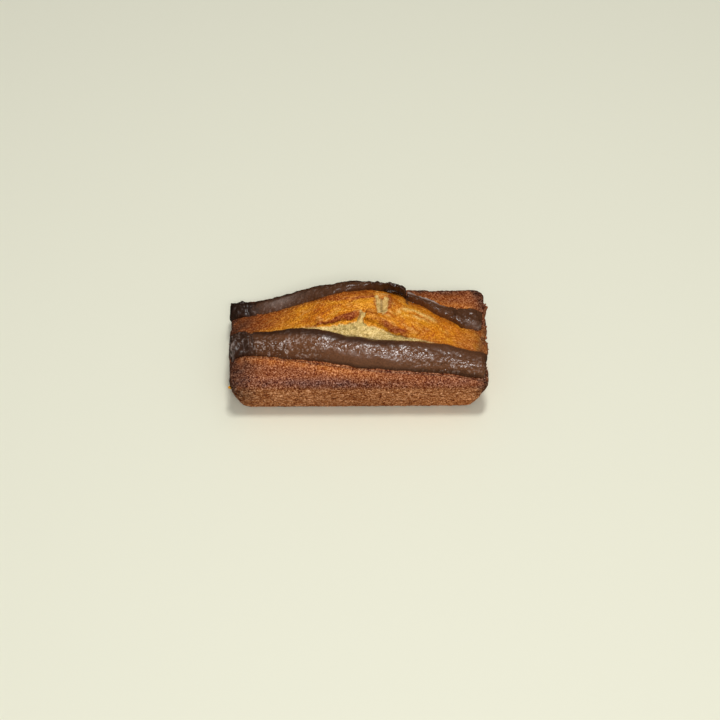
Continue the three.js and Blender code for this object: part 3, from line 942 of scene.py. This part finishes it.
class Piped:
    """One piped line: its vertices, moved as it sinks, wrinkles and sets, and their colours and gloss."""

    def __init__(self, points, normals, node, look):
        self.points = points
        self.normals = normals
        self.look = look
        self.front = node == "front_line"
        self.right = 1.0 if node == "back_line_right" else 0.0
        self.x, self.y, self.z = points.T
        self.above = ease(-0.2, 0.25, normals[:, 2])
        if self.front:
            self.off = self.y - front_line(self.x)
            self.across = self.off / FRONT_LINE_HALF_WIDTH
        else:
            self.off = self.y - back_line(self.x)
            self.across = self.off / (BACK_LINE_HALF_WIDTH - np.where(self.off < 0, pinch(self.x), 0))
        self.wander()
        if self.front:
            self.spread_front_line()
        else:
            self.draw_back_line()
        self.find_end_block()
        self.raise_top()
        self.gloss = self.find_gloss()

    def wander(self):
        """Lets both edges wander and turns the corners of the ends in."""
        points, x, across = self.points, self.x, self.across
        wave = lumps(points, (5, 3, 50), 41) + 0.7 * lumps(points, (1.9, 2, 50), 42)
        self.y = self.y + (0.3 if self.front else 0.45) * wave * np.abs(across)
        left_corner = ease(-0.6, -1.4, across) * ease(-40.5, LINE_LEFT_X, x)
        right_corner = ease(0.3, 1, across) * ease(41, LINE_RIGHT_X, x)
        self.x = x + 1.1 * left_corner + 0.9 * right_corner

    def spread_front_line(self):
        """Shortens the ends of the front line, and spreads its far edge against the dome."""
        x, across = self.x, self.across
        right_corner = ease(41, LINE_RIGHT_X, x) * ease(-0.2, -0.8, across)
        x = x + 0.5 * ease(-41.5, LINE_LEFT_X, x) - 0.6 * right_corner
        spread = 0.5 + 0.35 * hump(-11, 9, x) + 0.4 * ease(32, 40, x)
        self.x = x
        self.y = self.y + spread * ease(0.2, 1, across)
        self.z = self.z + 0.4 * self.above * ease(8, 24, x)

    def draw_back_line(self):
        """Draws the front edge of the back line back, and roughens its far edge and left corner."""
        points, across, above = self.points, self.across, self.above
        x = self.x - 0.35 * ease(-42, LINE_LEFT_X, self.x)
        near, far = ease(0.3, -1, across), ease(0.3, 1, across)
        corner = far * ease(-40.5, LINE_LEFT_X, x)
        sunk = 0.8 * hump(-36, 4, x) * ease(0, 0.7, across)
        rise = 0.3 * ease(-30, -20, x) + 1.0 * ease(-38.6, -40, x) + 1.0 * corner - sunk
        rise = rise + 0.25 * lumps(points, (1.2, 2, 50), 53)
        self.x = x
        self.y = self.y + drawn(x) * near + (0.3 + 0.4 * lumps(points, (1.3, 3, 3), 52)) * far + 0.9 * corner
        self.z = self.z - 1.3 * np.maximum(drawn(x), 0) * near * (1 - above) + above * rise

    def find_end_block(self):
        """The flat wrinkled block at the left end, where the piping began, and the folds across it."""
        askew = self.x + 0.25 * self.off + 1.3 * lumps(self.points, 2.4, 40)
        self.end = ease(*END_BLOCK, askew)
        self.fold = np.maximum(hump(-35.4, 0.7, askew), 0.7 * hump(-39.2, 0.6, askew + 0.3 * self.off))
        self.ribs = lumps(self.points, (1.3, 7, 7), 49) * ease(-13, -18, self.x) * (1 - self.end)

    def raise_top(self):
        """Sinks the underside on to the crust and gives the top its swells, wrinkles and ribs."""
        points, x, across = self.points, self.x, self.across
        wrinkles = 1.7 * lumps(points, (1.6, 2.6, 2.6), 44) + 0.5 * lumps(points, 0.9, 48)
        step = x - 0.28 * (self.y - 4.7) + 0.5 * lumps(points, 1.6, 50)
        self.notch = self.right * hump(NOTCH_X, 0.5, step)
        block = self.right * ease(NOTCH_X - 0.3, NOTCH_X + 0.7, step)
        rise = 0.22 * lumps(points, (6, 4, 50), 43) + 0.65 * self.end * wrinkles - 0.6 * self.fold
        rise = rise + 0.12 * self.ribs + 0.4 * block - 0.4 * self.notch
        rise = rise + self.right * (0.7 * hump(0.78, 0.28, np.abs(across)) - 0.3)
        if self.front:
            crest = hump(-0.5 - 0.15 * ease(18, 36, x), 0.35, across)
            rise = rise + 0.65 * outward(x) * crest + 0.8 * ease(40.5, LINE_RIGHT_X, x)
        self.z = self.z - self.look.sag / MM * (1 - self.above) + self.above * rise

    def find_gloss(self):
        """How glossy the crest is: a band that runs lower towards both ends."""
        x = self.points[:, 0]
        crest = -0.12 - 0.62 * ease(-2, -34, x) - 0.75 * ease(10, 40, x)
        band = hump(crest, 0.34 + 0.42 * outward(x), self.across + 0.12 * lumps(self.points, 2.2, 47))
        return np.maximum(band, 0.85 * self.end) * self.above

    def moved(self):
        """Places of the vertices, with the fine beads raised on them."""
        x = self.x
        beads = 0.85 * lumps(self.points, (1.5, 1.0, 1.0), 45) + 0.4 * lumps(self.points, 0.5, 46)
        if self.front:
            lively = (0.18 + 0.82 * self.gloss) * (1 + 0.6 * outward(x, left=(-6, -26), right=(6, 26)))
        else:
            lively = 1.0 + 0.35 * ease(-12, -3, x) + 1.4 * within(2, 9, 16, 17, x)
        raised = self.look.beads / MM * beads * lively * (1 - 0.85 * self.end)
        return np.column_stack([x, self.y, self.z]) + self.normals * raised[:, None]

    def darkness_and_shade(self):
        """How dark each place is: chocolate baked darker, with painted shade on the far side, along the near
        edge, in the folds and in the notch.
        """
        x, across = self.x, self.across
        # Painted shade in the folds and the notch, on the far side and along the near edge; the end block,
        # the ribs and the ends baked darker.
        places = [
            (0.8 if self.front else 0.95) * self.end,
            0.8 * self.fold,
            0.7 * self.notch,
            0.35 * ease(0.0, 0.6, self.ribs),
            0.3 * ease(-20, -33, x),
            0.3 * ease(14, 26, x) * ease(-0.9, 0.1, across),
            (0.78 - 0.43 * ease(8, 22, x)) * ease(-0.05, 0.45, across),
            0.9 * ease(-0.8, -0.98, across),
        ]
        if not self.front:
            before_snap = within(2, 14, SNAP_X - 0.3, SNAP_X + 0.7, x)
            places.append(0.5 + 0.4 * before_snap - 0.12 * within(17, 19, 31, 34, x))
        return np.maximum.reduce(places)

    def coloured(self):
        """Colours of the vertices: darker where they baked most and where shade is painted, with painted
        glints, highlights and sheens.
        """
        points, x, across, look = self.points, self.x, self.across, self.look
        coat = Coat(look.body, len(points))
        # Darker chocolate, with the painted shade in it.
        coat.lay(look.deep_and_shade, self.darkness_and_shade())
        # Pale specks on the glossy crest: painted glints.
        glint = ease(0.32, 0.52, lumps(points, 0.5, 91) + 0.5 * lumps(points, 0.25, 92)) * self.gloss
        glint = glint * ease(-0.8, 0.0, lumps(points, (2.2, 1.6, 2), 93)) * (1 - 0.7 * self.end)
        if self.front:
            # Painted highlight on the left tip of the front line.
            tip = hump(-42.8, 1.2, x) * ease(0.1, -0.3, across) * ease(-0.3, 0.4, lumps(points, 0.9, 95))
            coat.lay(look.painted_highlight, (0.2 + 0.15 * ease(-4, -12, x)) * glint + 0.3 * tip)
        else:
            coat.lay(look.painted_highlight, (0.08 + 0.2 * within(-6, 2, 16, 17, x)) * glint)
            # Painted highlight along the far top edge of the right piece.
            far_edge = self.right * hump(0.55, 0.12, across) * ease(31, 27, x) * self.above
            coat.lay(look.painted_highlight, 0.4 * far_edge)
            # Painted sheen across the middle of the back line's left piece.
            painted_sheen = hump(-26, 7, x) * hump(-0.35, 0.45, across)
            coat.lay(look.painted_highlight, 0.2 * painted_sheen * (0.7 + 0.5 * lumps(points, (2.6, 1.2, 1.2), 96)))
            # Painted highlight along the near edge at the end of the right piece.
            near_edge = self.right * ease(35, 39, x) * hump(-0.9, 0.3, across)
            coat.lay(look.painted_highlight, 0.14 * near_edge * (0.7 + 0.6 * lumps(points, 0.8, 94)))
        return coat.colour

    def shine(self):
        """Gloss for the material: half is common, less is duller, as on the left end."""
        return 0.5 + 0.5 * self.gloss - 0.9 * self.end


class FINANCIER_OT_pipe_chocolate(bpy.types.Operator):
    """Models the three pieces of piped chocolate from their solids"""

    bl_idname = "financier.pipe_chocolate"
    bl_label = "Pipe the chocolate"

    def execute(self, context):
        look = context.scene.financier_chocolate
        material = chocolate_material()
        lines = (
            ("front_line", "front_chocolate"),
            ("back_line_left", "back_chocolate_left"),
            ("back_line_right", "back_chocolate_right"),
        )
        for node, name in lines:
            piece = copy_of(node, name)
            keep_edges(piece, 45)
            remodel(piece, look.cell, 2)
            line = Piped(points_of(piece), normals_of(piece), node, look)
            move_points(piece, line.moved())
            paint(piece, line.coloured())
            mark(piece, "gloss", line.shine())
            piece.data.materials.append(material)
            settle(piece, node)
        return {"FINISHED"}


def model_crumb(length):
    """One uneven crumb at the origin."""
    bpy.ops.object.select_all(action="DESELECT")
    bpy.ops.mesh.primitive_ico_sphere_add(subdivisions=1, radius=length / 2)
    crumb = bpy.context.active_object
    open_in_edit_mode(crumb, "VERT", "SELECT")
    bpy.ops.transform.vertex_random(offset=0.22 * length, uniform=0.4, normal=0.6, seed=CRUMB_SHAPE_SEED)
    leave_edit_mode()
    finish_with(crumb, "SUBSURF", levels=1, render_levels=1)
    return crumb


class FINANCIER_OT_scatter_crumbs(bpy.types.Operator):
    """Sets loose crumbs on the ends of the baked cake"""

    bl_idname = "financier.scatter_crumbs"
    bl_label = "Scatter the crumbs"

    def execute(self, context):
        look = context.scene.financier_crumbs
        cake_look = context.scene.financier_cake
        cake = bpy.data.objects["baked_cake"]
        tree = BVHTree.FromObject(cake, context.evaluated_depsgraph_get())
        rng = np.random.default_rng(CRUMB_PLACE_SEED)
        spots = [(*CORNER_CRUMB, cake_look.yellow)]
        for _ in range(look.count):
            side = 1 if rng.random() < 0.7 else -1
            y, z = rng.uniform(-19, 19), rng.uniform(13.5, 16)
            spots.append((side, y, z, rng.uniform(0.5, 1.3), cake_look.brown))
        model = model_crumb(look.size)
        made = []
        for side, y, z, scale, tint in spots:
            start = Vector((OUTSIDE_X * side, y, z)) * MM
            hit, normal, _, _ = tree.ray_cast(start, Vector((-side, 0, 0)))
            if hit is None:
                continue
            crumb = bpy.data.objects.new("crumb", model.data.copy())
            context.scene.collection.objects.link(crumb)
            stretch = Vector(rng.uniform(0.7, 1.25, 3)) * scale
            turn = Euler(rng.uniform(0, FULL_TURN, 3)).to_matrix().to_4x4()
            crumb.data.transform(turn @ Matrix.Diagonal((*stretch, 1)))
            crumb.data.transform(Matrix.Translation(hit + 0.12 * look.size * normal))
            count = len(crumb.data.vertices)
            paint(crumb, Coat(tint, count).colour)
            mark(crumb, "rough", np.full(count, 0.5))
            mark(crumb, "layered", np.zeros(count))
            mark(crumb, "painted_glints", np.zeros(count))
            made.append(crumb)
        if not made:
            raise RuntimeError("No crumb found the rim of the cake")
        bpy.data.objects.remove(model)
        activate(made[0])
        for crumb in made:
            crumb.select_set(True)
        bpy.ops.object.join()
        piece = context.active_object
        piece.name = "loose_crumbs"
        piece.data.materials.append(bpy.data.materials["baked_crust"])
        settle(piece, None)
        return {"FINISHED"}


def hang_lamp(name, place, long, wide, power, mirrored=True):
    """A soft lamp that faces the cake; the gloss shows it only if it is mirrored."""
    lamp = bpy.data.lights.new(name, "AREA")
    lamp.shape = "RECTANGLE"
    lamp.size = long
    lamp.size_y = wide
    lamp.energy = power
    hung = bpy.data.objects.new(name, lamp)
    hung.location = place
    hung.rotation_euler = (-hung.location).to_track_quat("-Z", "Y").to_euler()
    hung.visible_glossy = mirrored
    bpy.context.scene.collection.objects.link(hung)


class FINANCIER_OT_set_stage(bpy.types.Operator):
    """Makes the pale floor, the soft light and the camera"""

    bl_idname = "financier.set_stage"
    bl_label = "Set the stage"

    def execute(self, context):
        look = context.scene.financier_stage
        scene = context.scene
        bpy.ops.object.select_all(action="DESELECT")
        bpy.ops.mesh.primitive_plane_add(size=8)
        floor = context.active_object
        floor.name = "floor"
        pale = Recipe("pale_floor")
        pale.set("Base Color", tuple(look.floor))
        pale.set("Roughness", 0.6)
        pale.set("Specular IOR Level", 0.2)
        floor.data.materials.append(pale.material)
        floor.visible_glossy = False

        world = bpy.data.worlds.new("soft_room")
        world.use_nodes = True
        sky = world.node_tree.nodes["Background"]
        sky.inputs["Color"].default_value = (1, 1, 1, 1)
        sky.inputs["Strength"].default_value = look.sky
        scene.world = world
        world.cycles_visibility.glossy = False
        hang_lamp("overhead_lamp", (0.1, -0.02, 0.92), 0.9, 0.36, look.lamp, mirrored=False)
        hang_lamp("glint_lamp", (0.05, -0.05, 0.92), 0.2, 0.1, look.glint)
        hang_lamp("front_glint_lamp", (0.05, -0.7, 0.75), 0.25, 0.12, 0.7 * look.glint)
        hang_lamp("left_lamp", (-0.55, -1.0, 0.8), 0.8, 0.8, look.fill, mirrored=False)
        hang_lamp("right_lamp", (0.55, -1.0, 0.8), 0.8, 0.8, look.fill, mirrored=False)

        camera = bpy.data.cameras.new("photo_camera")
        camera.lens = look.lens
        camera.sensor_width = 36
        stand = bpy.data.objects.new("photo_camera", camera)
        stand.location = look.eye
        stand.rotation_euler = (math.pi / 2 - look.tilt, 0, -look.turn)
        scene.collection.objects.link(stand)
        scene.camera = stand
        scene.view_settings.view_transform = "Standard"
        return {"FINISHED"}


class FINANCIER_PT_panel(bpy.types.Panel):
    """Lists the steps and what can be changed in each"""

    bl_label = "Financier cake"
    bl_idname = "FINANCIER_PT_panel"
    bl_space_type = "VIEW_3D"
    bl_region_type = "UI"
    bl_category = "Financier"

    def draw(self, context):
        steps = (
            ("financier.bake_cake", context.scene.financier_cake),
            ("financier.pipe_chocolate", context.scene.financier_chocolate),
            ("financier.scatter_crumbs", context.scene.financier_crumbs),
            ("financier.set_stage", context.scene.financier_stage),
        )
        for operator, look in steps:
            box = self.layout.box()
            box.operator(operator)
            for name in look.__annotations__:
                box.prop(look, name)


GROUPS = {
    "financier_cake": FinancierCakeLook,
    "financier_chocolate": FinancierChocolateLook,
    "financier_crumbs": FinancierCrumbLook,
    "financier_stage": FinancierStageLook,
}
CLASSES = (
    FINANCIER_OT_bake_cake,
    FINANCIER_OT_pipe_chocolate,
    FINANCIER_OT_scatter_crumbs,
    FINANCIER_OT_set_stage,
    FINANCIER_PT_panel,
)


def register():
    for name, group in GROUPS.items():
        bpy.utils.register_class(group)
        setattr(bpy.types.Scene, name, bpy.props.PointerProperty(type=group))
    for made in CLASSES:
        bpy.utils.register_class(made)


def unregister():
    for made in reversed(CLASSES):
        bpy.utils.unregister_class(made)
    for name, group in GROUPS.items():
        delattr(bpy.types.Scene, name)
        bpy.utils.unregister_class(group)


def main():
    register()
    bpy.ops.financier.bake_cake()
    bpy.ops.financier.pipe_chocolate()
    bpy.ops.financier.scatter_crumbs()
    bpy.ops.financier.set_stage()


if __name__ == "__main__":
    main()
